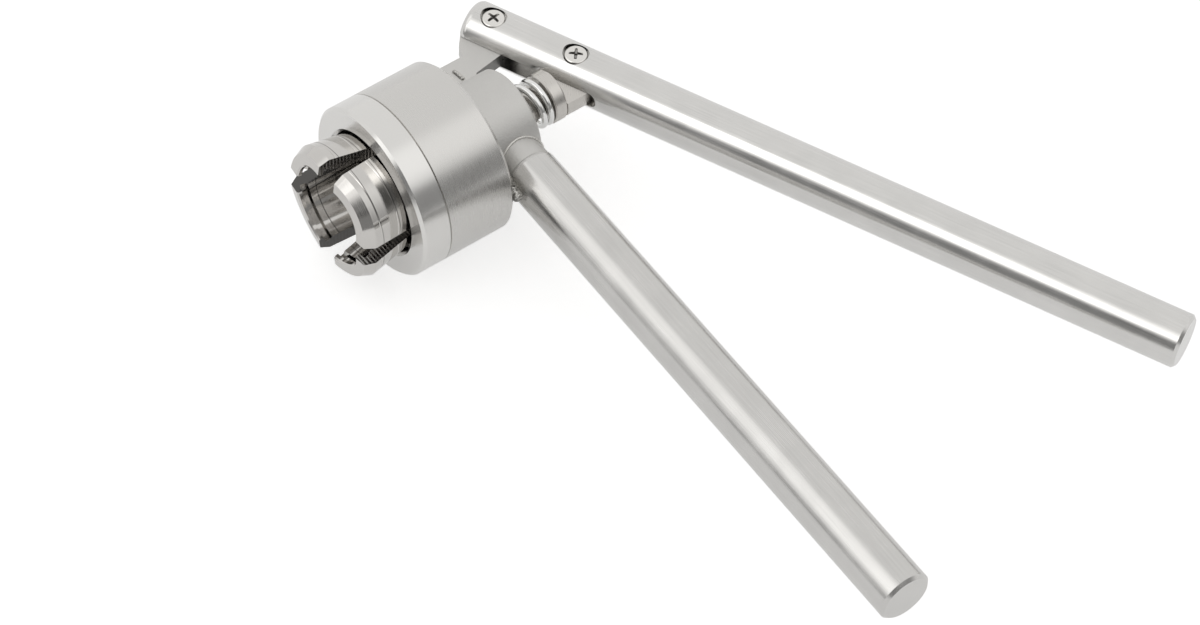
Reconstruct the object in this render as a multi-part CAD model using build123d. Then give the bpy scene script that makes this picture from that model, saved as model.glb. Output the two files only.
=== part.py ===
from build123d import *
import math
import os

# Hand crimper for vial caps, in millimetres. The head's axis is X, with the jaws towards -X and the
# origin at the front ring's front face. The handles lie in the XY plane and +Z is up.

# Head: housing and front ring
head_radius = 23.0
ring_length = 7.9
ring_edge = 0.75
seam_half_width = 0.2
seam_depth = 0.5
spigot_wall = 2.1
housing_rear_x = 27.1
housing_rear_wall = 3.1
housing_edge = 0.9

# Boss behind the housing
boss_radius = 13.17
boss_rear_x = 42.8
boss_edge = 0.5
boss_spigot_radius = 11.5
boss_front_bore_radius = 9.6
boss_wall_x = 30.0
boss_wall_thickness = 3.0
spring_pocket_radius = 7.4

# Jaws, as they stand when closed
jaw_count = 4
jaw_front_x = -11.8
jaw_nose_radius = 12.7
jaw_nose_length = 2.5
jaw_outer_radius = 14.3
jaw_bore_radius = 10.5
jaw_lip_radius = 9.4
jaw_lip_length = 1.3
jaw_lip_edge = 0.4
jaw_relief_radius = 11.2
jaw_relief_length = 1.6
jaw_relief_slope = 0.6
jaw_tail_x = 22.0
jaw_foot_length = 4.8
jaw_foot_slope = 1.0
jaw_scribe_x = (-7.5, -2.0)
jaw_scribe_depth = 0.15
jaw_slit_half_gap = 0.12
jaw_mouth_half_gap = 0.35
jaw_tail_half_gap = 1.6
fulcrum_x = 10.8
fulcrum_height = 2.7
fulcrum_bead = 1.5
fulcrum_neck_root = 1.0
jaw_opening = 10.0
first_jaw_angle = 45.0

# Rubber ring round the jaw tails
ring_groove_x = 17.1
ring_groove_depth = 1.6
ring_groove_front = 1.4
ring_groove_rear = 2.6
rubber_section_radius = 1.2
rubber_lift = 0.1

# Push rod and what it carries
rod_radius = 4.0
bush_wall = 1.5
rod_thread_radius = 3.0
rod_shoulder_x = 24.0
collar_front_x = 51.96
collar_rear_x = 55.5
collar_radius = 6.73
collar_edge = 0.3
tongue_eye_radius = 6.7
tongue_corner_cut = 2.2
rod_travel = 7.96
link_rise = 2.01
cone_front_x = 18.0
cone_land = 3.0
cone_length = 11.0
cone_front_radius = 7.2
cone_rear_radius = 9.0
pad_front_x = 4.5
pad_thickness = 4.0
pad_radius = 8.5
pad_edge = 0.6
pad_skin = 1.0
nut_flats = 10.0
nut_height = 4.0
cone_nut_rear_x = 18.0

# Return spring
spring_radius = 5.95
spring_wire_radius = 0.85
spring_turns = 4.5
seat_washer_thickness = 1.0

# Bracket and moving handle
pivot_x = 55.03
pivot_y = 24.35
handle_angle = 65.84
screw_spacing = 23.63
handle_radius = 7.0
handle_near_end = 6.8
handle_far_end = 191.6
handle_edge = 0.8
handle_near_round = 2.0
plate_thickness = 4.4
slot_width = 4.6
slot_depth = 33.3
ear_radius = 6.8
arm_bottom_y = 12.0
arm_inset = 1.6
arm_heel_run = 1.5
bracket_weld_leg = 1.6
bracket_weld_inset = 0.5
arm_corner_x = 43.4
ear_heel = (45.05, 25.3)
ear_tip = (48.0, 28.6)
ear_lower = (52.2, 16.35)
arm_lower = (42.84, 14.9)

# Screws and sleeves
screw_radius = 2.0
screw_head_radius = 3.12
screw_head_height = 2.6
screw_head_dome = 0.8
screw_head_seat_z = 3.8
screw_length = 9.6
screw_recess_width = 1.0
screw_recess_length = 3.4
screw_recess_depth = 1.0
counterbore_radius = 3.4
sleeve_radius = 2.6

# Fixed handle
fixed_axis_x = 36.13
fixed_axis_y = -10.0
fixed_lean = 1.75
fixed_handle_end = 158.5
stub_radius = 6.6
stub_socket_depth = 2.4
stub_end = 7.2
shoulder_length = 0.9
shoulder_radius = 6.9
shoulder_run = 0.3
shoulder_root = 0.1
web_weld_drop = 6.3
web_weld_length = 3.2
web_weld_height = 3.4

# Clearances between mating pieces
running_gap = 0.05
seat_gap = 0.03
pin_slot_gap = 0.15
sleeve_end_gap = 0.05
washer_bore_gap = 0.2
jaw_swing_gap = 2.35
jaw_cavity_gap = 1.9
bead_swing_gap = 1.1
bead_rear_gap = 0.45
bead_top_gap = 0.3
spigot_end_gap = 0.35
cone_foot_gap = 0.3

ring_bore_radius = jaw_outer_radius + jaw_swing_gap
cavity_radius = jaw_outer_radius + jaw_cavity_gap
ring_groove_radius = jaw_outer_radius - ring_groove_depth
fulcrum_radius = jaw_outer_radius + fulcrum_height
bead_recess_radius = fulcrum_radius + fulcrum_bead + bead_top_gap
spigot_radius = bead_recess_radius + spigot_wall
ring_shoulder_x = fulcrum_x - fulcrum_bead - bead_swing_gap
housing_step_x = fulcrum_x + fulcrum_bead + bead_rear_gap
spigot_end_x = housing_step_x - spigot_end_gap
jaw_foot_radius = cone_rear_radius + cone_foot_gap
arm_top_y = head_radius - arm_inset
handle_dir = (math.cos(math.radians(handle_angle)), -math.sin(math.radians(handle_angle)))
link_x = pivot_x + screw_spacing * handle_dir[0]
link_y = pivot_y + screw_spacing * handle_dir[1]
spring_seat_x = boss_wall_x + boss_wall_thickness
spring_front_x = spring_seat_x + seat_washer_thickness


def turned(points):
    """Solid of revolution about the head's axis, from an outline of (x, radius) points."""
    return revolve(make_face(Polyline(*points, close=True)), Axis.X)


def turned_sleeve(front_x, rear_x, outer, inner):
    """Plain sleeve on the head's axis."""
    return turned([(front_x, inner), (rear_x, inner), (rear_x, outer), (front_x, outer)])


def upright_pin(x, y, low_z, high_z, radius):
    """Round pin that stands parallel to Z."""
    return Pos(x, y, (low_z + high_z) / 2) * Cylinder(radius, high_z - low_z)


def handle_blank(start, end):
    """Round bar along X with a chamfer at its far end."""
    return turned([(start, 0), (start, handle_radius), (end - handle_edge, handle_radius),
                   (end, handle_radius - handle_edge), (end, 0)])


def on_moving_handle(shape):
    """Carries a shape drawn along X from the pivot onto the moving handle's axis."""
    return Location((pivot_x, pivot_y, 0), (0, 0, -handle_angle)) * shape


def on_fixed_handle(shape):
    """Carries a shape drawn along X onto the fixed handle's axis."""
    return Location((fixed_axis_x, fixed_axis_y, 0), (0, 0, -90 - fixed_lean)) * shape


def front_ring():
    """Screwed ring with the bore that the jaws come through and the spigot that traps them."""
    return turned([
        (0, ring_bore_radius + ring_edge), (0, head_radius - ring_edge), (ring_edge, head_radius),
        (ring_length - seam_half_width, head_radius), (ring_length, head_radius - seam_depth),
        (ring_length, spigot_radius), (spigot_end_x, spigot_radius),
        (spigot_end_x, bead_recess_radius), (ring_shoulder_x, bead_recess_radius),
        (ring_shoulder_x, ring_bore_radius), (ring_edge, ring_bore_radius),
    ])


def head_housing():
    """Turned sleeve that takes the ring's spigot in front and the boss's spigot behind."""
    cavity_end_x = housing_rear_x - housing_rear_wall
    socket = spigot_radius + running_gap
    rear_hole = boss_spigot_radius + seat_gap
    return turned([
        (ring_length, socket), (ring_length, head_radius - seam_depth),
        (ring_length + seam_half_width, head_radius), (housing_rear_x - housing_edge, head_radius),
        (housing_rear_x, head_radius - housing_edge), (housing_rear_x, rear_hole),
        (cavity_end_x, rear_hole), (cavity_end_x, cavity_radius), (housing_step_x, cavity_radius),
        (housing_step_x, socket),
    ])


def rear_boss():
    """Boss with a bore for the cone, a wall for the bush and a pocket for the spring."""
    wall_end_x = boss_wall_x + boss_wall_thickness
    bush_hole = bush_radius() + seat_gap
    shape = turned([
        (housing_rear_x - housing_rear_wall, boss_front_bore_radius),
        (housing_rear_x - housing_rear_wall, boss_spigot_radius),
        (housing_rear_x, boss_spigot_radius), (housing_rear_x, boss_radius),
        (boss_rear_x - boss_edge, boss_radius), (boss_rear_x, boss_radius - boss_edge),
        (boss_rear_x, spring_pocket_radius), (wall_end_x, spring_pocket_radius),
        (wall_end_x, bush_hole), (boss_wall_x, bush_hole), (boss_wall_x, boss_front_bore_radius),
    ])
    return shape - on_fixed_handle(stub_blank(stub_radius + seat_gap))


def bush_radius():
    """Outer radius of the guide bush."""
    return rod_radius + bush_wall


def guide_bush():
    """Bush in the boss's wall that the rod slides in."""
    return turned_sleeve(boss_wall_x, boss_wall_x + boss_wall_thickness,
                         bush_radius(), rod_radius + running_gap)


def spring_seat_washer():
    """Washer between the boss's wall and the spring."""
    return turned_sleeve(spring_seat_x, spring_front_x,
                         spring_pocket_radius - 2 * seat_gap, rod_radius + washer_bore_gap)


def stub_start():
    """Start of the stub along the fixed handle, at the floor of its socket in the boss."""
    return boss_radius - stub_socket_depth + fixed_axis_y


def stub_blank(radius):
    """Round stub from the floor of its socket to the weld, along X."""
    length = stub_end - stub_start()
    return Pos(stub_start() + length / 2, 0, 0) * (Rot(0, 90, 0) * Cylinder(radius, length))


def handle_stub():
    """Short stub that carries the fixed handle on the boss."""
    return on_fixed_handle(stub_blank(stub_radius))


def stub_weld():
    """Ground weld between the stub and the handle's end."""
    end = stub_end + shoulder_length
    return on_fixed_handle(turned([
        (stub_end, 0), (stub_end, stub_radius - shoulder_root),
        (stub_end + shoulder_run, shoulder_radius),
        (end, handle_radius), (end, 0),
    ]))


def fixed_handle_bar():
    """Fixed handle: a plain round bar with a chamfered free end."""
    return on_fixed_handle(handle_blank(stub_end + shoulder_length, fixed_handle_end))


def web_weld():
    """Small weld that fills the gap between the housing's rear face and the stub."""
    width = fixed_axis_x - housing_rear_x
    block = Pos(housing_rear_x + width / 2, fixed_axis_y - web_weld_drop, web_weld_height / 2) * Box(
        width, web_weld_length, web_weld_height)
    block = block - handle_stub() - stub_weld() - fixed_handle_bar()
    return block.solids().sort_by(Axis.X)[0]


def pivot_bracket():
    """Flat ear: an arm on the housing's rear face that turns up into the pivot's eye."""
    outline = Polyline(
        (housing_rear_x, arm_bottom_y), (housing_rear_x, arm_top_y), (arm_corner_x, arm_top_y),
        ear_heel, ear_tip, (pivot_x, pivot_y), ear_lower, arm_lower,
        (arm_lower[0] - arm_heel_run, arm_bottom_y), close=True)
    plate = extrude(make_face(outline), plate_thickness / 2, both=True)
    plate += upright_pin(pivot_x, pivot_y, -plate_thickness / 2, plate_thickness / 2, ear_radius)
    boss = turned_sleeve(0, 2 * boss_rear_x, boss_radius, 0)
    hole = upright_pin(pivot_x, pivot_y, -handle_radius, handle_radius, sleeve_radius + running_gap)
    return plate - boss - hole


def bracket_weld():
    """Fillet weld along both sides of the bracket's foot on the housing's rear face."""
    side = plate_thickness / 2
    bead = Polyline((housing_rear_x, side), (housing_rear_x + bracket_weld_leg, side),
                    (housing_rear_x, side + bracket_weld_leg), close=True)
    start = boss_radius + bracket_weld_inset
    length = arm_top_y - bracket_weld_inset - start
    upper = Pos(0, start, 0) * (Rot(-90, 0, 0) * extrude(make_face(bead), length))
    lower = mirror(upper, about=Plane.XY)
    return Compound(children=[*upper.solids(), *lower.solids()])


def moving_handle_bar():
    """Moving handle: a round bar slotted for the ear and the tongue, with two counterbored holes."""
    bar = handle_blank(-handle_near_end, handle_far_end)
    bar = fillet(bar.edges().sort_by(Axis.X)[0], handle_near_round)
    end_radius = slot_width / 2
    floor = slot_depth - end_radius
    slot = Pos((floor - 2 * handle_near_end) / 2, 0, 0) * Box(floor + 2 * handle_near_end,
                                                              4 * handle_radius, slot_width)
    slot += Pos(floor, 0, 0) * (Rot(90, 0, 0) * Cylinder(end_radius, 4 * handle_radius))
    bar -= slot
    for along in (0, screw_spacing):
        bar -= upright_pin(along, 0, screw_head_seat_z, 2 * handle_radius, counterbore_radius)
        bar -= upright_pin(along, 0, screw_tip_z(), handle_radius, screw_radius + seat_gap)
    return on_moving_handle(bar)


def screw_tip_z():
    """Height of a screw's tip, inside the lower cheek."""
    return screw_head_seat_z - screw_length


def cross_screw(along):
    """Cross-recess screw with a domed head, at a distance along the moving handle."""
    top = screw_head_seat_z + screw_head_height
    head = Pos(0, 0, screw_head_seat_z) * Cylinder(
        screw_head_radius, screw_head_height, align=(Align.CENTER, Align.CENTER, Align.MIN))
    head = fillet(head.edges().group_by(Axis.Z)[-1], screw_head_dome)
    for turn in (0, 90):
        head -= Pos(0, 0, top) * (Rot(0, 0, turn) * Box(
            screw_recess_length, screw_recess_width, 2 * screw_recess_depth))
    shank = upright_pin(0, 0, screw_tip_z(), screw_head_seat_z, screw_radius)
    return on_moving_handle(Pos(along, 0, 0) * (head + shank))


def screw_sleeve(along):
    """Sleeve on a screw's shank, held between the cheeks of the slot."""
    half = slot_width / 2 - sleeve_end_gap
    sleeve = upright_pin(along, 0, -half, half, sleeve_radius)
    sleeve -= upright_pin(along, 0, -half, half, screw_radius + seat_gap)
    return on_moving_handle(sleeve)


def push_rod():
    """Rod turned with a collar for the spring, and milled to a flat tongue behind it."""
    end_x = pad_front_x + pad_skin
    rod = turned([
        (end_x, 0), (end_x, rod_thread_radius), (rod_shoulder_x, rod_thread_radius),
        (rod_shoulder_x, rod_radius), (collar_front_x, rod_radius),
        (collar_front_x, collar_radius - collar_edge), (collar_front_x + collar_edge, collar_radius),
        (collar_rear_x - collar_edge, collar_radius), (collar_rear_x, collar_radius - collar_edge),
        (collar_rear_x, 0),
    ])
    eye_y = link_y - link_rise / 2
    flat = turned_sleeve(collar_rear_x, link_x - tongue_corner_cut, collar_radius, 0)
    flat = flat & Box(4 * link_x, 4 * collar_radius, plate_thickness)
    flat += upright_pin(link_x, eye_y, -plate_thickness / 2, plate_thickness / 2, tongue_eye_radius)
    slot_radius = sleeve_radius + pin_slot_gap
    slot = Pos(link_x, eye_y, 0) * Box(2 * slot_radius, link_rise, 2 * plate_thickness)
    for y in (link_y, link_y - link_rise):
        slot += upright_pin(link_x, y, -plate_thickness, plate_thickness, slot_radius)
    return rod + flat - slot


def spreader_cone():
    """Cone clamped against the rod's shoulder, thicker towards the rear."""
    rear_x = cone_front_x + cone_length
    bore = rod_thread_radius + seat_gap
    counterbore = rod_radius + seat_gap
    return turned([
        (cone_front_x, bore), (cone_front_x, cone_front_radius),
        (cone_front_x + cone_land, cone_front_radius), (rear_x, cone_rear_radius),
        (rear_x, counterbore), (rod_shoulder_x, counterbore), (rod_shoulder_x, bore),
    ])


def hex_nut(rear_x):
    """Hexagon nut on the rod's thread, with its rear face at rear_x."""
    corner = nut_flats / math.sqrt(3)
    section = Plane.YZ.offset(rear_x - nut_height) * RegularPolygon(corner, 6)
    return extrude(section, nut_height) - turned_sleeve(
        0, rear_x + nut_height, rod_thread_radius + seat_gap, 0)


def pressure_pad():
    """Disc screwed on the rod's end, closed in front, that holds the cap down."""
    rear_x = pad_front_x + pad_thickness
    floor_x = pad_front_x + pad_skin
    bore = rod_thread_radius + seat_gap
    return turned([
        (pad_front_x, 0), (pad_front_x, pad_radius - pad_edge), (pad_front_x + pad_edge, pad_radius),
        (rear_x, pad_radius), (rear_x, bore), (floor_x, bore), (floor_x, 0),
    ])


def return_spring():
    """Coil spring from its washer to the rod's collar, with its ends ground flat."""
    length = collar_front_x - spring_front_x
    pitch = length / spring_turns
    path = Helix(pitch, length, spring_radius)
    wire = Plane(origin=path @ 0, z_dir=path % 0) * Circle(spring_wire_radius)
    coil = Pos(spring_front_x, 0, 0) * (Rot(0, 90, 0) * sweep(wire, path=path, is_frenet=True))
    return coil & turned_sleeve(spring_front_x, collar_front_x, boss_radius, 0)


def jaw_outline():
    """Outline of a closed jaw as (x, radius) points, with its nose, lip, fulcrum bead and groove."""
    nose_x = jaw_front_x + jaw_nose_length
    lip_x = jaw_front_x + jaw_lip_length
    relief_x = lip_x + jaw_relief_length
    groove_front = ring_groove_x - ring_groove_front
    groove_rear = ring_groove_x + ring_groove_rear
    points = [(jaw_front_x, jaw_nose_radius), (nose_x, jaw_outer_radius)]
    for x in jaw_scribe_x:
        points += [(x - jaw_scribe_depth, jaw_outer_radius), (x, jaw_outer_radius - jaw_scribe_depth),
                   (x + jaw_scribe_depth, jaw_outer_radius)]
    points += [
        (groove_front, jaw_outer_radius), (groove_front, ring_groove_radius),
        (groove_rear, ring_groove_radius), (groove_rear, jaw_outer_radius),
        (jaw_tail_x, jaw_outer_radius), (jaw_tail_x, jaw_foot_radius),
        (jaw_tail_x - jaw_foot_length, jaw_foot_radius),
        (jaw_tail_x - jaw_foot_length - jaw_foot_slope, jaw_bore_radius),
        (relief_x + jaw_relief_slope, jaw_bore_radius), (relief_x, jaw_relief_radius),
        (lip_x + jaw_relief_slope / 2, jaw_relief_radius), (lip_x, jaw_lip_radius),
        (jaw_front_x + jaw_lip_edge, jaw_lip_radius), (jaw_front_x, jaw_lip_radius + jaw_lip_edge),
    ]
    return points


def jaw_bead():
    """Fulcrum bead round the jaws, a round ridge on a short neck."""
    neck = turned_sleeve(fulcrum_x - fulcrum_bead, fulcrum_x + fulcrum_bead,
                         fulcrum_radius, jaw_outer_radius - fulcrum_neck_root)
    circle = Pos(fulcrum_x, fulcrum_radius) * Circle(fulcrum_bead)
    return neck + revolve(circle, Axis.X)


def jaw_quadrant():
    """The space one closed jaw keeps between its slits, which widen to the mouth and at the tail."""
    reach = 2 * head_radius
    slit_side = Polyline(
        (jaw_front_x, reach), (jaw_front_x, jaw_mouth_half_gap), (0, jaw_slit_half_gap),
        (fulcrum_x, jaw_slit_half_gap), (fulcrum_x, jaw_tail_half_gap),
        (jaw_tail_x, jaw_tail_half_gap), (jaw_tail_x, reach), close=True)
    wall = extrude(make_face(slit_side), reach, both=True)
    return wall & (Rot(90, 0, 0) * wall)


def jaw(index):
    """One jaw, cut from the turned ring by its slits and tipped open about its fulcrum."""
    closed = (turned(jaw_outline()) + jaw_bead()) & (Rot(-45, 0, 0) * jaw_quadrant())
    hinge = Location((fulcrum_x, fulcrum_radius, 0))
    opened = hinge * (Rot(0, 0, -jaw_opening) * (hinge.inverse() * closed))
    return Rot(first_jaw_angle + index * 360 / jaw_count, 0, 0) * opened


def jaw_return_ring():
    """Rubber ring in the groove of the jaw tails."""
    centre_radius = ring_groove_radius + rubber_lift + rubber_section_radius
    return revolve(Pos(ring_groove_x, centre_radius) * Circle(rubber_section_radius), Axis.X)


def all_nodes():
    """Every node of the crimper by name."""
    nodes = {
        "front_ring": front_ring(),
        "head_housing": head_housing(),
        "rear_boss": rear_boss(),
        "guide_bush": guide_bush(),
        "spring_seat_washer": spring_seat_washer(),
        "pivot_bracket": pivot_bracket(),
        "bracket_weld": bracket_weld(),
        "handle_stub": handle_stub(),
        "stub_weld": stub_weld(),
        "web_weld": web_weld(),
        "fixed_handle_bar": fixed_handle_bar(),
        "moving_handle_bar": moving_handle_bar(),
        "pivot_screw": cross_screw(0),
        "link_screw": cross_screw(screw_spacing),
        "pivot_sleeve": screw_sleeve(0),
        "link_sleeve": screw_sleeve(screw_spacing),
        "push_rod": push_rod(),
        "spreader_cone": spreader_cone(),
        "cone_nut": hex_nut(cone_nut_rear_x),
        "pressure_pad": pressure_pad(),
        "pad_lock_nut": hex_nut(pad_front_x + pad_thickness + nut_height),
        "return_spring": return_spring(),
        "jaw_return_ring": jaw_return_ring(),
    }
    for index in range(jaw_count):
        nodes[f"jaw_{index + 1}"] = jaw(index)
    return nodes


os.makedirs("parts", exist_ok=True)
for name, shape in all_nodes().items():
    export_step(shape, f"parts/{name}.step")
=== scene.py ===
import math

import bpy
import numpy as np
from mathutils import Matrix, Vector


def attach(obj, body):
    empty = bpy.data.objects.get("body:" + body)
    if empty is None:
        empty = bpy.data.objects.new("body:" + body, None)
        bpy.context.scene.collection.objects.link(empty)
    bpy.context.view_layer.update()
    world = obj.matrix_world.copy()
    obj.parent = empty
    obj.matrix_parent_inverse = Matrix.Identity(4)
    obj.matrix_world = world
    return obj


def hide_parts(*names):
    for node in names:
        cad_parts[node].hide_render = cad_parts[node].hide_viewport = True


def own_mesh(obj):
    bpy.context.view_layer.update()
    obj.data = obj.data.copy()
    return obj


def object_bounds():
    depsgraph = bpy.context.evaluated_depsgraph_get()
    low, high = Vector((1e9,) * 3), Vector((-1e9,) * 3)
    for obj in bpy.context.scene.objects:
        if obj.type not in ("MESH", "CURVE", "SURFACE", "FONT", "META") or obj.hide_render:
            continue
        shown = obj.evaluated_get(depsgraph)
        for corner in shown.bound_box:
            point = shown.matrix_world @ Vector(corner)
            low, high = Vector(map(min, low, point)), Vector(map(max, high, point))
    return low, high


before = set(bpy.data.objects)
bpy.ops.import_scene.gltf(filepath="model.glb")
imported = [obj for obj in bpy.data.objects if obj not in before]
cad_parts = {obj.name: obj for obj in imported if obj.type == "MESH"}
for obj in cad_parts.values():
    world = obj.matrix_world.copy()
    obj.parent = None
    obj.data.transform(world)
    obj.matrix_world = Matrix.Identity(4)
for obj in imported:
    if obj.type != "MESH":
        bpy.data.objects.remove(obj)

cad_low, cad_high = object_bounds()


# The camera stands over the mouth of the crimper and looks down along the two handles. It was
# fitted to the head's circles, the two screws and both bars. All lengths here are in metres.
def object_of(name, data):
    """Puts data into the scene as an object."""
    made = bpy.data.objects.new(name, data)
    bpy.context.scene.collection.objects.link(made)
    return made


camera_at = Vector((-0.376685, -0.537031, 0.804960))
camera_looks = Vector((0.3937712, 0.4672038, -0.7916216))
camera_right = Vector((0.7974927, -0.6019026, 0.0414573))
camera_lens = 127.07
sensor_width = 36.0
clip_near, clip_far = 0.05, 20.0
camera = object_of("camera", bpy.data.cameras.new("camera"))
camera.data.lens = camera_lens
camera.data.sensor_width = sensor_width
camera.data.clip_start, camera.data.clip_end = clip_near, clip_far
camera_up = camera_right.cross(camera_looks)
turn = Matrix((camera_right, camera_up, -camera_looks)).transposed().to_4x4()
camera.matrix_world = Matrix.Translation(camera_at) @ turn
bpy.context.scene.camera = camera
bpy.context.scene.view_settings.view_transform = "Standard"


# The table is a plain white sheet just under the head. Its material lifts what the camera and the
# polished steel see of it to white, and keeps the soft shadow of the tool.
def node_of(tree, kind, *feeds, **values):
    """Adds a shader node. Feeds fill its inputs in order, values its inputs and settings by name.

    An output of another node is linked, a constant is set, and None leaves an input alone.
    """
    made = tree.nodes.new("ShaderNode" + kind)
    for key, value in [*enumerate(feeds), *values.items()]:
        if isinstance(key, str) and key not in made.inputs:
            setattr(made, key, value)
        elif isinstance(value, bpy.types.NodeSocket):
            tree.links.new(value, made.inputs[key])
        elif value is not None:
            made.inputs[key].default_value = value
    return made


def maths(tree, operation, *feeds):
    """Output of a math node."""
    return node_of(tree, "Math", *feeds, operation=operation).outputs[0]


def empty_tree(holder):
    """Node tree of a material or world, with nothing in it."""
    holder.use_nodes = True
    holder.node_tree.nodes.clear()
    return holder.node_tree


def lead_out(tree, shader, kind="OutputMaterial"):
    """Leads a shader to a new output node."""
    node_of(tree, kind, Surface=shader.outputs[0])


table_gap = 0.0004
table_half = 3.0
table_colour = (0.86, 0.86, 0.86, 1.0)
lift_colour = (1.0, 1.0, 1.0, 1.0)
table_lift = 0.55
mirrored_lift = 0.30
sheet = bpy.data.meshes.new("table_sheet")
sheet.from_pydata([(x * table_half, y * table_half, cad_low.z - table_gap)
                   for x, y in ((-1, -1), (1, -1), (1, 1), (-1, 1))], [], [(0, 1, 2, 3)])
table = object_of("table_sheet", sheet)
table_material = bpy.data.materials.new("table_white")
tree = empty_tree(table_material)
rays = node_of(tree, "LightPath")
lifted = 0.0
for ray, amount in (("Is Camera Ray", table_lift), ("Is Glossy Ray", mirrored_lift),
                    ("Is Transmission Ray", table_lift)):
    lifted = maths(tree, "MULTIPLY_ADD", rays.outputs[ray], amount, lifted)
paper = node_of(tree, "BsdfDiffuse", Color=table_colour)
lift = node_of(tree, "Emission", Color=lift_colour, Strength=lifted)
lead_out(tree, node_of(tree, "AddShader", paper.outputs[0], lift.outputs[0]))
table.data.materials.append(table_material)


# The room is a white tent whose level differs with direction, which draws the light and dark bands
# along the polished steel. A part is a change of level times soft shares: each has a direction,
# and the cosines to it where the share starts and where it is full.
def vector_maths(tree, operation, *feeds, **values):
    """Output of a vector math node, the number where the operation gives one."""
    made = node_of(tree, "VectorMath", *feeds, operation=operation, **values)
    return made.outputs["Value" if operation in ("DOT_PRODUCT", "LENGTH") else "Vector"]


def share_between(tree, source, start, end, least=0.0, most=1.0, curve="LINEAR"):
    """Level that runs from least to most while the source runs from start to end."""
    return node_of(tree, "MapRange", source, start, end, least, most,
                   interpolation_type=curve).outputs["Result"]


def mixed(tree, data_type, share, first, second):
    """Mix of two levels or two colours. The node has its own inputs and output for each type."""
    first_input, output = {"FLOAT": (2, 0), "RGBA": (6, 2)}[data_type]
    unused = [None] * (first_input - 1)
    mix = node_of(tree, "Mix", share, *unused, first, second, data_type=data_type)
    return mix.outputs[output]


room_level = 0.92
room_diffuse_level = 0.65
room_floor = 0.12
camera_level = 1.0
room_colour = (1.0, 0.995, 0.985, 1.0)
room_parts = (
    ((((-0.62, -0.78, 0.0), -0.04, 0.38), ((0.0, 0.0, -1.0), -0.62, -0.40)), -0.64),
    ((((0.39, -0.38, 0.84), 0.90, 0.99),), 0.20),
    ((((-0.52, 0.49, 0.70), 0.90, 0.98),), 0.38),
    ((((-0.58, -0.10, 0.81), 0.94, 0.985),), 0.42),
    ((((-0.67, -0.06, 0.74), 0.978, 0.990),), 0.70),
    ((((-0.89, 0.20, 0.40), 0.95, 0.985),), 0.90),
    ((((-0.66, -0.55, 0.52), 0.91, 0.965),), -0.72),
)
world = bpy.data.worlds.new("white_room")
bpy.context.scene.world = world
tree = empty_tree(world)
direction = node_of(tree, "TexCoord").outputs["Generated"]
level = room_level
for shares, change in room_parts:
    for toward, start, end in shares:
        facing = vector_maths(tree, "DOT_PRODUCT", direction, Vector(toward).normalized())
        share = share_between(tree, facing, start, end, curve="SMOOTHSTEP")
        change = maths(tree, "MULTIPLY", change, share)
    level = maths(tree, "ADD", level, change)
level = maths(tree, "MAXIMUM", level, room_floor)
rays = node_of(tree, "LightPath")
calm = mixed(tree, "FLOAT", rays.outputs["Is Glossy Ray"], room_diffuse_level, level)
seen = mixed(tree, "FLOAT", rays.outputs["Is Camera Ray"], calm, camera_level)
lead_out(tree, node_of(tree, "Background", Color=room_colour, Strength=seen), "OutputWorld")

# One soft box stands high at the left. The bars show it in the white line above their dark band,
# and it lights the head from the mouth's side.
box_at = Vector((-0.64, 0.08, 0.78))
box_looks_at = Vector((0.05, -0.05, 0.0))
box_size = (0.42, 0.70)
box_power = 0.36
box = bpy.data.lights.new("left_box", "AREA")
box.shape = "RECTANGLE"
box.size, box.size_y = box_size
box.energy = box_power
holder = object_of("left_box", box)
holder.location = box_at
holder.rotation_euler = (box_looks_at - box_at).to_track_quat("-Z", "Y").to_euler()


# The head is turned from stainless bar: a screwed front ring and the housing behind the seam. The
# cutting tool left fine grain round the axis, and the skin is satin with soft clouds.
def object_place(tree):
    """Position on the piece."""
    return node_of(tree, "TexCoord").outputs["Object"]


def grain_round_axis(tree, along_scale, round_scale):
    """Vector that changes fast along the head's axis and radius, and slowly round it."""
    parts = node_of(tree, "SeparateXYZ", object_place(tree)).outputs
    flat = node_of(tree, "CombineXYZ", Y=parts["Y"], Z=parts["Z"]).outputs[0]
    slow = vector_maths(tree, "SCALE", vector_maths(tree, "NORMALIZE", flat), Scale=round_scale)
    depth = maths(tree, "ADD", parts["X"], vector_maths(tree, "LENGTH", flat))
    fast = node_of(tree, "CombineXYZ", X=maths(tree, "MULTIPLY", depth, along_scale)).outputs[0]
    return vector_maths(tree, "ADD", slow, fast)


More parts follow.
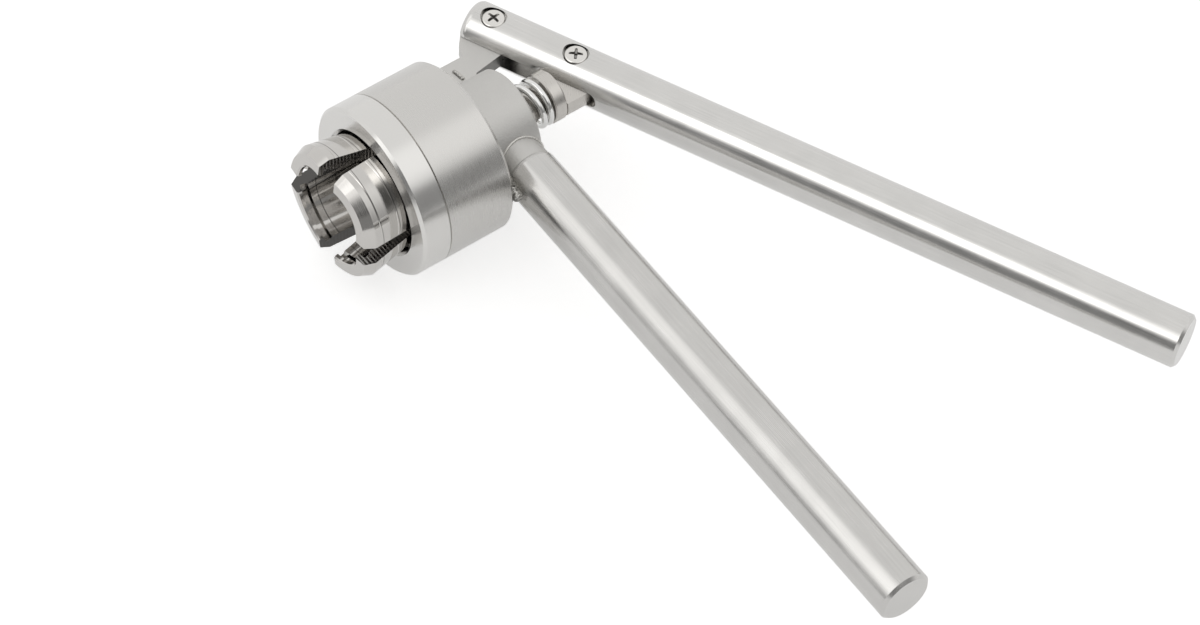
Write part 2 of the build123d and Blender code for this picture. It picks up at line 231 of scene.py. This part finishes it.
def steel(name, colour, rough, grain, scales, colour_swing=0.06, rough_swing=0.08,
          bump_depth=0.00002, bump_strength=0.35, cloud_scale=60.0, extra_height=None,
          dark_share=None, dark_left=0.30):
    """Steel whose grain noise drives its tint, roughness and bump, with broader clouds over it.

    The grain is a function of the tree and its scales. The extra height adds to the bump, and the
    dark share takes the tint to a dark one, which keeps a part of the colour.
    """
    def shade(factor):
        return (*[min(1, c * factor) for c in colour], 1)

    made = bpy.data.materials.new(name)
    tree = empty_tree(made)
    fine = node_of(tree, "TexNoise", grain(tree, *scales), Scale=1.0, Detail=3.0,
                   Roughness=0.6).outputs["Fac"]
    clouds = node_of(tree, "TexNoise", object_place(tree), Scale=cloud_scale, Detail=2.0,
                     Roughness=0.5).outputs["Fac"]
    blend = maths(tree, "MULTIPLY_ADD", fine, fine_part,
                  maths(tree, "MULTIPLY", clouds, 1 - fine_part))
    tint = mixed(tree, "RGBA", blend, shade(1 - colour_swing), shade(1 + colour_swing))
    if dark_share is not None:
        tint = mixed(tree, "RGBA", dark_share(tree), tint, shade(dark_left))
    gloss = share_between(tree, blend, noise_low, noise_high, rough - rough_swing,
                          rough + rough_swing)
    height = fine
    if extra_height is not None:
        height = maths(tree, "ADD", height, extra_height(tree))
    bump = node_of(tree, "Bump", Strength=bump_strength, Distance=bump_depth, Height=height)
    lead_out(tree, node_of(tree, "BsdfPrincipled", tint, Metallic=1.0, Roughness=gloss,
                           Normal=bump.outputs[0]))
    return made


def dress(material, *nodes):
    """Gives CAD nodes a material in every slot of theirs."""
    for name in nodes:
        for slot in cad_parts[name].material_slots:
            slot.material = material


fine_part = 0.6
noise_low, noise_high = 0.3, 0.7
turned_satin = steel("turned_satin", (0.635, 0.626, 0.608), 0.25, grain_round_axis, (5200.0, 5.0),
                     colour_swing=0.04, bump_strength=0.15)
ring_satin = steel("ring_satin", (0.72, 0.712, 0.695), 0.20, grain_round_axis, (4200.0, 4.0),
                   colour_swing=0.04, rough_swing=0.05, bump_strength=0.15)
dress(turned_satin, "head_housing")
dress(ring_satin, "front_ring")


# The boss and the stub are cast and blasted: matt, with a fine even grain. The welds are ground
# over and keep small pits.
def grain_even(tree, scale):
    """Object position times a scale, the same in every direction."""
    return vector_maths(tree, "SCALE", object_place(tree), Scale=scale)


cast_grey = (0.60, 0.592, 0.575)
cast_matt = steel("cast_matt", cast_grey, 0.48, grain_even, (2600.0,), colour_swing=0.13,
                  bump_depth=0.00010, bump_strength=0.8, cloud_scale=260.0)
weld_ground = steel("weld_ground", cast_grey, 0.40, grain_even, (1500.0,), colour_swing=0.12,
                    bump_depth=0.00015, bump_strength=0.8, cloud_scale=400.0)
dress(cast_matt, "rear_boss", "handle_stub")
dress(weld_ground, "bracket_weld", "stub_weld", "web_weld")


# The bracket is plate with a flame-cut edge. It is matt like the boss, and the faces that look at
# the rod are darkened with painted shade.
def painted_shade_on_edge(tree):
    """Painted shade: high on the faces that look down at the rod, and zero elsewhere."""
    normal = node_of(tree, "TexCoord").outputs["Normal"]
    facing = vector_maths(tree, "DOT_PRODUCT", normal, edge_looks)
    return share_between(tree, facing, 0.5, 0.8, most=edge_painted_shade)


edge_looks = (0.2, -0.98, 0.0)
# Strength of the painted shade on the faces that look at the rod.
edge_painted_shade = 0.85
bracket_matt = steel("bracket_matt", cast_grey, 0.42, grain_even, (2600.0,), colour_swing=0.10,
                     bump_depth=0.00006, bump_strength=0.6, cloud_scale=220.0,
                     dark_share=painted_shade_on_edge)
dress(bracket_matt, "pivot_bracket")


# The handles are round stainless bars, brushed lengthwise. Each lies at its own angle in the plane
# of the tool; the fixed one's colour is darker than the moving one's as painted shade.
def grain_along_bar(tree, angle, along_scale, across_scale):
    """Vector that changes slowly along a bar laid at an angle in the XY plane, and fast across."""
    return node_of(tree, "Mapping", object_place(tree), vector_type="TEXTURE",
                   Rotation=(0, 0, angle),
                   Scale=(1 / along_scale, 1 / across_scale, 1 / across_scale)).outputs[0]


moving_angle = math.radians(-65.84)
fixed_angle = math.radians(-91.75)
for name, angle, node, colour, rough in (
        ("moving_brushed", moving_angle, "moving_handle_bar", (0.665, 0.658, 0.644), 0.18),
        ("fixed_brushed", fixed_angle, "fixed_handle_bar", (0.61, 0.602, 0.588), 0.22)):
    brushed = steel(name, colour, rough, grain_along_bar, (angle, 60.0, 5000.0),
                    colour_swing=0.20, rough_swing=0.10, bump_strength=0.3, cloud_scale=110.0)
    dress(brushed, node)


# The jaws are turned and polished, with fine scribed lines round them. Their cut faces keep the
# ribs of the milling cutter and are darkened with painted shade, those of the lowest jaw the most.
def cut_face_share(tree):
    """One on faces that look round the head's axis, and zero elsewhere."""
    place = node_of(tree, "TexCoord").outputs
    flat = vector_maths(tree, "MULTIPLY", place["Object"], (0, 1, 1))
    around = vector_maths(tree, "CROSS_PRODUCT", vector_maths(tree, "NORMALIZE", flat), (1, 0, 0))
    facing = vector_maths(tree, "DOT_PRODUCT", around, place["Normal"])
    return share_between(tree, maths(tree, "ABSOLUTE", facing), 0.75, 0.9)


def depth_along_head(tree):
    """Distance along the head's axis."""
    return node_of(tree, "SeparateXYZ", object_place(tree)).outputs["X"]


def cutter_ribs(tree):
    """Height of the cutter's ribs across the jaw's cut faces."""
    wave = maths(tree, "SINE",
                 maths(tree, "MULTIPLY", depth_along_head(tree), 2 * math.pi / rib_pitch))
    return maths(tree, "MULTIPLY", wave,
                 maths(tree, "MULTIPLY", cut_face_share(tree), rib_height))


def jaw_shade_and_scribe_lines(tree, cut_face_painted_shade):
    """Painted shade on the cut faces, and thin dark lines where the tool scribed the outside."""
    dark = maths(tree, "MULTIPLY", cut_face_share(tree), cut_face_painted_shade)
    depth = depth_along_head(tree)
    for at in scribed_at:
        away = maths(tree, "ABSOLUTE", maths(tree, "SUBTRACT", depth, at))
        line = share_between(tree, away, line_edge, line_core, most=line_darkness)
        dark = maths(tree, "MAXIMUM", dark, line)
    return dark


rib_pitch = 0.0009
rib_height = 3.4
scribed_at = (-0.0075, -0.0020)
line_edge, line_core = 0.00014, 0.00005
line_darkness = 0.9
# Each row sets how dark the cut faces are painted as shade, and how much colour that shade keeps.
for name, cut_face_painted_shade, dark_left, nodes in (
        ("jaw_polish", 0.75, 0.28, ("jaw_1", "jaw_2", "jaw_3")),
        ("jaw_polish_low_shaded", 0.92, 0.10, ("jaw_4",))):
    jaw_polish = steel(name, (0.60, 0.585, 0.565), 0.10, grain_round_axis, (3000.0, 3.0),
                       rough_swing=0.04, extra_height=cutter_ribs, dark_left=dark_left,
                       dark_share=lambda tree, most=cut_face_painted_shade: jaw_shade_and_scribe_lines(tree, most))
    dress(jaw_polish, *nodes)

# The rod and its cone, pad and washer are turned, and the screws and nuts are plated. The two
# sleeves are ground, and the rod's bush is brass.
rod_turned = steel("rod_turned", (0.60, 0.58, 0.55), 0.28, grain_round_axis, (4500.0, 3.0))
nickel = steel("nickel", (0.74, 0.73, 0.71), 0.16, grain_even, (900.0,), rough_swing=0.04,
               bump_strength=0.15)
ground_steel = steel("ground_steel", (0.55, 0.55, 0.55), 0.30, grain_even, (2000.0,))
bush_brass = steel("bush_brass", (0.70, 0.52, 0.26), 0.30, grain_round_axis, (3000.0, 3.0))
dress(rod_turned, "push_rod", "spreader_cone", "pressure_pad", "spring_seat_washer")
dress(nickel, "pivot_screw", "link_screw", "cone_nut", "pad_lock_nut")
dress(ground_steel, "pivot_sleeve", "link_sleeve")
dress(bush_brass, "guide_bush")

# The ring round the jaw tails is black rubber. It is matt, with fine paler specks.
rubber_dark = (0.015, 0.015, 0.015, 1)
rubber_pale = (0.035, 0.034, 0.033, 1)
rubber = bpy.data.materials.new("ring_rubber")
tree = empty_tree(rubber)
speck = node_of(tree, "TexNoise", object_place(tree), Scale=1200.0, Detail=2.0)
rubber_tint = mixed(tree, "RGBA", speck.outputs["Fac"], rubber_dark, rubber_pale)
lead_out(tree, node_of(tree, "BsdfPrincipled", rubber_tint, Roughness=0.6))
dress(rubber, "jaw_return_ring")


# The return spring is bright drawn wire, wound with one closed coil at each end.
def coil_points(turns, steps, front, rear, radius, wire, first_angle):
    """Centre line of a coil on the head's axis, with a closed turn at each end.

    The advance per turn is just over the wire's thickness in the end turns and even between them.
    """
    turn = np.linspace(0, turns, steps)
    closed = closed_advance * wire
    open_length = rear - front - 2 * wire - 2 * closed
    advance = np.interp(turn, (0, 1, turns - 1, turns),
                        (0, closed, closed + open_length, 2 * closed + open_length))
    padded = np.pad(advance, smooth_steps // 2, mode="reflect", reflect_type="odd")
    advance = np.convolve(padded, np.ones(smooth_steps) / smooth_steps, mode="valid")
    angle = first_angle + 2 * np.pi * turn
    return np.stack([front + wire + advance, radius * np.cos(angle), radius * np.sin(angle)], 1)


def ring_skin(name, rings):
    """Closed smooth object over rings of points, with a flat face on the first and last ring."""
    corner = np.arange(rings.shape[0] * rings.shape[1]).reshape(rings.shape[:2])
    a, b = corner[:-1], corner[1:]
    quads = np.stack([a, b, np.roll(b, -1, 1), np.roll(a, -1, 1)], -1).reshape(-1, 4)
    mesh = bpy.data.meshes.new(name)
    mesh.from_pydata(rings.reshape(-1, 3).tolist(), [],
                     [*quads.tolist(), corner[0].tolist(), corner[-1][::-1].tolist()])
    mesh.validate()
    mesh.shade_smooth()
    return object_of(name, mesh)


def unit_rows(vectors):
    """Each row divided by its length."""
    return vectors / np.linalg.norm(vectors, axis=1)[:, None]


def tube(name, points, radius, sides=20):
    """Tube along a line of points, a circle carried in the frame of tangent and head's axis.

    The radius is one number, or one for each point and side.
    """
    tangent = unit_rows(np.gradient(points, axis=0))
    side = unit_rows(np.cross(tangent, unit_rows(points * (0, 1, 1))))
    outward = np.cross(side, tangent)
    around = np.linspace(0, 2 * np.pi, sides, endpoint=False)[:, None]
    radius = np.broadcast_to(radius, (len(points), sides))[..., None]
    return ring_skin(name, points[:, None] + radius * (np.cos(around) * outward[:, None]
                                                       + np.sin(around) * side[:, None]))


wire_radius = 0.00085
closed_advance = 2.04
smooth_steps = 31
spring_front, spring_rear = 0.034, 0.05196
spring_radius = 0.00575
spring_turns = 4.6
spring_steps = 560
spring_starts = math.radians(-1)
spring = tube("return_spring_wire",
              coil_points(spring_turns, spring_steps, spring_front, spring_rear, spring_radius,
                          wire_radius, spring_starts), wire_radius)
spring_bright = steel("spring_bright", (0.80, 0.80, 0.79), 0.10, grain_even, (1500.0,),
                      rough_swing=0.03, bump_strength=0.1)
spring.data.materials.append(spring_bright)
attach(spring, "head")
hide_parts("return_spring")
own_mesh(spring)


# The two screws have domed, nickelled heads with a cross recess. The recess tapers to its floor,
# and it and the gap round the head are darkened with painted shade.
def recess_depth(along, across):
    """Depth of the cross recess at points of the head: two arms and a wider core."""
    deep = np.zeros_like(along)
    for u, v in ((np.abs(along), np.abs(across)), (np.abs(across), np.abs(along))):
        reach = np.clip(1 - u / recess_reach, 0, 1) ** recess_taper
        wall = np.clip((recess_half_width - recess_narrowing * u - v) / recess_wall, 0, 1)
        deep = np.maximum(deep, recess_deepest * reach * wall)
    core = np.clip((core_reach - np.abs(along) - np.abs(across)) / core_wall, 0, 1)
    return np.maximum(deep, recess_deepest * core)


def mark_darkening(made, level):
    """Keeps a level of darkening for each point of a piece."""
    attribute = made.data.attributes.new("darkening", "FLOAT", "POINT")
    attribute.data.foreach_set("value", level.ravel())


def darkening_share(tree):
    """The darkening that the points of a piece hold."""
    return node_of(tree, "Attribute", attribute_name="darkening").outputs["Fac"]


def turned_screw(name, centre, recess_angle):
    """Closed screw: domed head with its recess as a field of heights, and the plain shank below."""
    around = np.linspace(0, 2 * np.pi, screw_sides, endpoint=False)
    radius = np.linspace(head_centre, head_radius, head_rings)[:, None] * np.ones(screw_sides)
    edge = np.clip((radius - head_radius + head_edge) / head_edge, 0, 1)
    deep = recess_depth(radius * np.cos(around - recess_angle),
                        radius * np.sin(around - recess_angle))
    height = (head_top - head_dome * (radius / head_radius) ** 2
              - head_edge * (1 - np.sqrt(1 - edge_fullness * edge ** 2)) - deep)
    for r, z in below_head:
        radius = np.vstack([radius, np.full(screw_sides, r)])
        height = np.vstack([height, np.full(screw_sides, z)])
    made = ring_skin(name, np.stack([centre[0] + radius * np.cos(around),
                                     centre[1] + radius * np.sin(around), height], -1))
    made.data.set_sharp_from_angle(angle=crease_angle)
    # Painted shade: the recess darkens with its depth, and the head's side and the shank are fully
    # dark.
    mark_darkening(made, np.vstack([recess_painted_shade * np.clip(deep / shade_full_depth, 0, 1),
                               np.ones((len(below_head), screw_sides))]))
    return made


screw_sides = 256
head_rings = 96
head_centre = 0.00002
head_radius = 0.0030
head_edge = 0.0004
edge_fullness = 0.98
head_dome = 0.0004
head_top = 0.00675
head_seat = 0.0038
rim_fall = 0.0001
shank_radius = 0.0020
shank_tip = -0.0058
below_head = ((head_radius, head_top - head_dome - head_edge - rim_fall),
              (head_radius, head_seat), (shank_radius, head_seat), (shank_radius, shank_tip))
crease_angle = math.radians(50)
recess_reach = 0.0018
recess_half_width = 0.00045
recess_deepest = 0.0013
recess_taper = 0.6
recess_narrowing = 0.06
recess_wall = 0.00015
core_reach = 0.00095
core_wall = 0.0002
recess_painted_shade = 0.85
shade_full_depth = 0.0004
screw_spacing = 0.02363
pivot_at = (0.05503, 0.02435)
link_at = (pivot_at[0] + screw_spacing * math.cos(moving_angle),
           pivot_at[1] + screw_spacing * math.sin(moving_angle))
screw_nickel = steel("screw_nickel", (0.76, 0.745, 0.72), 0.24, grain_even, (900.0,),
                     rough_swing=0.06, bump_strength=0.3, dark_share=darkening_share)
for node, place, recess_angle, off_centre in (
        ("pivot_screw", pivot_at, 5.0, (-0.00012, -0.00006)),
        ("link_screw", link_at, -42.0, (0, 0))):
    at = [p + o for p, o in zip(place, off_centre)]
    screw = turned_screw(node + "_turned", at, math.radians(recess_angle))
    screw.data.materials.append(screw_nickel)
    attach(screw, "moving_handle")
    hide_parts(node)


# The welds are beads with ripples and small lumps, darker along their toes and in the hollows.
# Each row holds a bead's ends, radius, ripple pitch, seed, darkness and the CAD node that it
# replaces.
def rough_bead(name, start, end, radius, ripple_pitch, seed, darkness_level):
    """Bead from start to end whose radius swells with each ripple, darker along both toes."""
    dice = np.random.default_rng(seed)
    step = np.linspace(0, 1, bead_rings)
    line = np.array(start) + step[:, None] * (np.array(end) - np.array(start))
    length = np.linalg.norm(line[-1] - line[0])
    swell = 1 + ripple_swell * np.abs(np.sin(np.pi * step * length / ripple_pitch))
    lumps = dice.normal(size=(bead_rings, bead_sides))
    for _ in range(lump_softenings):
        lumps = (lumps + np.roll(lumps, 1, 1) + np.roll(lumps, -1, 1)
                 + np.roll(lumps, 1, 0) + np.roll(lumps, -1, 0)) / 5
    lumps *= lump_swell / lumps.std()
    inward = np.minimum(step, 1 - step) * length
    ends = np.sqrt(np.clip(1 - (1 - np.clip(inward / radius, 0, 1)) ** 2, bead_tip, 1))
    made = tube(name, line, radius * (swell[:, None] + lumps) * ends[:, None], bead_sides)
    around = np.linspace(0, 2 * np.pi, bead_sides, endpoint=False)
    mark_darkening(made, np.clip(darkness_level + toe_darkening - 2 * toe_darkening * np.abs(np.cos(around))
                            - hollow_darkening * lumps, 0, 1))
    return made


bead_rings, bead_sides = 120, 36
ripple_swell = 0.12
lump_swell = 0.07
lump_softenings = 6
bead_tip = 0.02
toe_darkening = 0.6
hollow_darkening = 4
bead_steel = steel("bead_steel", (0.64, 0.628, 0.600), 0.30, grain_even, (1500.0,),
                   colour_swing=0.25, bump_depth=0.00015, bump_strength=0.7, cloud_scale=700.0,
                   dark_share=darkening_share)
for name, start, end, radius, pitch, seed, darkness_level, node in (
    ("bracket_bead_upper", (0.02745, 0.0156, 0.00255), (0.02745, 0.0209, 0.00255),
     0.00095, 0.0009, 1, 0.3, "bracket_weld"),
    ("bracket_bead_lower", (0.02745, 0.0156, -0.00255), (0.02745, 0.0209, -0.00255),
     0.00095, 0.0009, 2, 0.3, "bracket_weld"),
    ("bracket_tack", (0.0385, 0.0189, 0.0021), (0.0390, 0.0148, 0.0021),
     0.00055, 0.0007, 5, 0.5, "bracket_weld"),
    ("web_bead", (0.02825, -0.0155, 0.0014), (0.02840, -0.0232, 0.0004),
     0.00125, 0.0012, 3, 0.7, "web_weld"),
):
    bead = rough_bead(name, start, end, radius, pitch, seed, darkness_level)
    bead.data.materials.append(bead_steel)
    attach(bead, "head")
    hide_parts(node)

# A thin ridge runs round the stub where it enters the boss. Its line is the stub's outline on the
# boss's round skin.
stub_at = 0.03613
ridge_offset = 0.0067
boss_skin = 0.01317
ridge_radius = 0.00035
around = np.linspace(0, 2 * np.pi, 200)
across = ridge_offset * np.sin(around)
ridge_line = np.stack([stub_at + ridge_offset * np.cos(around),
                       -np.sqrt(boss_skin ** 2 - across ** 2), across], 1)
ridge = tube("stub_ridge", ridge_line, ridge_radius, 16)
ridge.data.materials.append(bead_steel)
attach(ridge, "head")
